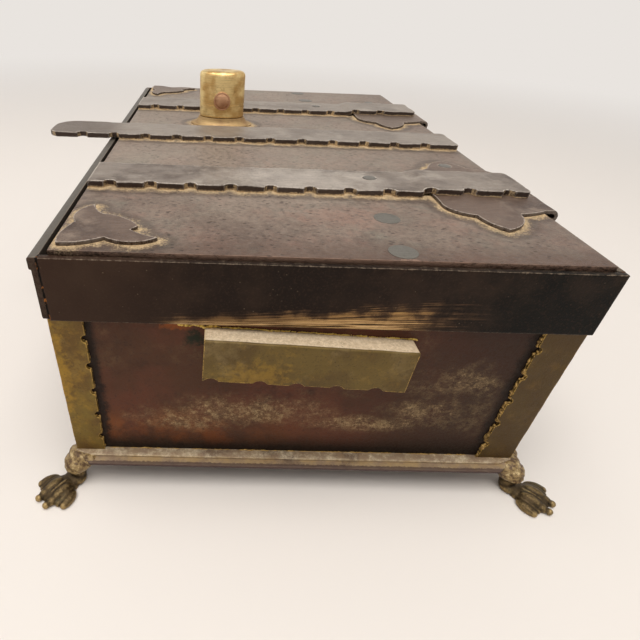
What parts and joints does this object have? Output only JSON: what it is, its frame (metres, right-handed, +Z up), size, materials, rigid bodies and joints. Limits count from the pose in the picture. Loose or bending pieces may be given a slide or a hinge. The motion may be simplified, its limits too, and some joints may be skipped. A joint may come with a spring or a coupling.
{
  "type": "strongbox",
  "caption": "Flat-lidded steel strongbox with notched straps, leaf hinges, a turn latch, brass end pulls and paw feet.",
  "frame": {"origin": "on the floor under the middle of the casket, between the four feet", "axes": "+X from the front, where the lid's tongue is, to the hinges; +Y along the box; +Z up"},
  "size_m": [0.2531, 0.3452, 0.1444],
  "materials": {
    "plinth_steel": "tarnished, worn bright at the edges",
    "wall_steel": "rust-brown patina with pale blotches",
    "rim_steel": "near-black brown patina",
    "lid_steel": "grey-brown patina, fine pitting",
    "strap_steel": "grey-brown patina, bright edges",
    "leaf_steel": "grey-brown patina",
    "rivet_steel": "grey patina",
    "pin_steel": "oxidised",
    "strap_brass": "aged olive-gold",
    "pull_brass": "aged olive-gold",
    "foot_brass": "cast, dark patina with worn highlights",
    "knob_brass": "satin, rubbed bright",
    "screw_brass": "satin",
    "latch_steel": "dark, lightly rusted"
  },
  "bodies": {
    "casket": {"base_plate": "plinth_steel", "floor_plate": "plinth_steel", "front_wall": "wall_steel", "back_wall": "wall_steel", "near_end_wall": "wall_steel", "far_end_wall": "wall_steel", "rim_front": "rim_steel", "rim_back": "rim_steel", "rim_near_end": "rim_steel", "rim_far_end": "rim_steel", "corner_strap_front_near": "strap_brass", "corner_strap_front_far": "strap_brass", "corner_strap_back_near": "strap_brass", "corner_strap_back_far": "strap_brass", "paw_foot_front_near": "foot_brass", "paw_foot_front_far": "foot_brass", "paw_foot_back_near": "foot_brass", "paw_foot_back_far": "foot_brass", "near_end_pull": "pull_brass", "far_end_pull": "pull_brass", "back_leaf_near": "leaf_steel", "back_leaf_far": "leaf_steel", "back_leaf_rivets": "rivet_steel", "hinge_pin_near": "pin_steel", "hinge_pin_far": "pin_steel", "latch_keeper": "latch_steel"},
    "lid": {"lid_plate": "lid_steel", "strap_near": "strap_steel", "strap_centre": "strap_steel", "strap_far": "strap_steel", "strap_rivets": "rivet_steel", "hinge_leaf_near": "leaf_steel", "hinge_leaf_far": "leaf_steel", "corner_leaf_near": "leaf_steel", "corner_leaf_far": "leaf_steel", "lid_batten_near": "latch_steel", "lid_batten_far": "latch_steel", "batten_rivets": "rivet_steel", "knob_rose": "knob_brass"},
    "latch": {"turn_grip": "knob_brass", "grip_screw": "screw_brass", "spindle": "latch_steel", "spindle_collar": "latch_steel", "latch_bar": "latch_steel", "spindle_nut": "latch_steel"}
  },
  "joints": [
    {"name": "lid_hinge", "type": "hinge", "parent": "casket", "child": "lid", "pos_m": [0.1005, 0, 0.1131], "axis": [0, 1, 0], "range_deg": [0, 110]},
    {"name": "latch_turn", "type": "hinge", "parent": "lid", "child": "latch", "pos_m": [-0.0372, 0.0304, 0.1145], "axis": [0, 0, 1], "range_deg": [0, 90]}
  ]
}
